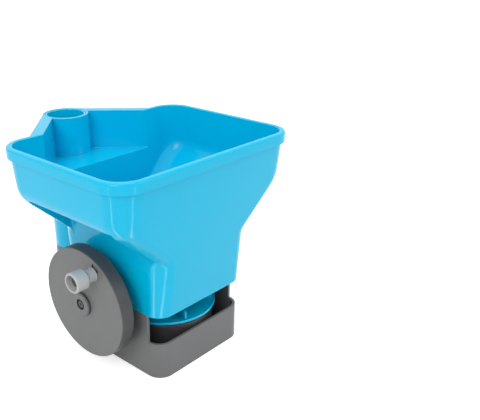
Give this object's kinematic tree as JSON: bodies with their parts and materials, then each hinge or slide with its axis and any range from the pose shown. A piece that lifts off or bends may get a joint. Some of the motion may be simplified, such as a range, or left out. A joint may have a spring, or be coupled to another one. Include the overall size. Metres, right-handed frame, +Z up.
{
  "type": "hand crank spreader",
  "caption": "Hand-held crank spreader: open hopper with a rear grip tube, a finger trigger that slides the outlet gate, and a geared wheel that spins a finned disc in the base.",
  "frame": {"origin": "centre of the base housing's footprint, on the ground", "axes": "+Z up through the open hopper, -Y towards the throwing side, +Y towards the grip tube, -X towards the crank wheel"},
  "size_m": [0.205, 0.2169, 0.194],
  "materials": {
    "blue_plastic": "glossy moulded polypropylene",
    "grey_plastic": "satin moulded polypropylene",
    "dark_plastic": "satin moulded polypropylene",
    "pale_plastic": "satin moulded acetal",
    "steel": "turned and plated",
    "bronze": "sintered bush"
  },
  "bodies": {
    "frame": {"hopper": "blue_plastic", "handle_tube": "blue_plastic", "base_housing": "grey_plastic", "bottom_cover": "grey_plastic", "gear_drum": "dark_plastic", "wheel_axle": "steel", "axle_washer": "steel", "axle_screw": "steel", "outer_bush": "bronze", "inner_bush": "bronze", "spinner_bush": "bronze", "thrust_washer": "steel", "trigger_bracket": "grey_plastic", "trigger_pin": "steel", "trigger_spring": "steel", "bracket_screws": "steel", "cover_screws": "steel", "drum_screws": "steel", "hopper_screws": "steel", "handle_screw": "steel"},
    "crank": {"crank_wheel": "grey_plastic", "knob_pin": "steel"},
    "knob": {"crank_knob": "pale_plastic"},
    "drive": {"drive_shaft": "steel", "drive_pinion": "pale_plastic", "drive_bevel": "pale_plastic"},
    "spinner": {"spinner_shaft": "steel", "spinner_bevel": "pale_plastic", "spinner_disc": "blue_plastic", "agitator": "grey_plastic"},
    "trigger": {"trigger": "grey_plastic"},
    "gate": {"shutter_gate": "dark_plastic"}
  },
  "joints": [
    {"name": "crank_turn", "type": "hinge", "parent": "frame", "child": "crank", "pos_m": [-0.07, 0.007, 0.0634], "axis": [1, 0, 0], "continuous": true},
    {"name": "knob_spin", "type": "hinge", "parent": "crank", "child": "knob", "pos_m": [-0.09, -0.00997, 0.09729], "axis": [1, 0, 0], "continuous": true},
    {"name": "drive_turn", "type": "hinge", "parent": "frame", "child": "drive", "pos_m": [-0.04, -0.0113, 0.02922], "axis": [1, 0, 0], "continuous": true},
    {"name": "spinner_turn", "type": "hinge", "parent": "frame", "child": "spinner", "pos_m": [0, -0.0113, 0.042], "axis": [0, 0, 1], "continuous": true},
    {"name": "trigger_pull", "type": "hinge", "parent": "frame", "child": "trigger", "pos_m": [0, 0.088, 0.143], "axis": [1, 0, 0], "range_deg": [0, 8.8], "stiffness_Nm_per_rad": 1, "deforming": ["trigger_spring"]},
    {"name": "gate_slide", "type": "slide", "parent": "frame", "child": "gate", "axis": [0, 1, 0], "range_m": [0, 0.0117]}
  ],
  "couplings": [
    {"joint": "drive_turn", "follows": "crank_turn", "ratio": 6.1667},
    {"joint": "spinner_turn", "follows": "crank_turn", "ratio": -6.1667},
    {"joint": "gate_slide", "follows": "trigger_pull", "m_per_rad": 0.075931}
  ]
}
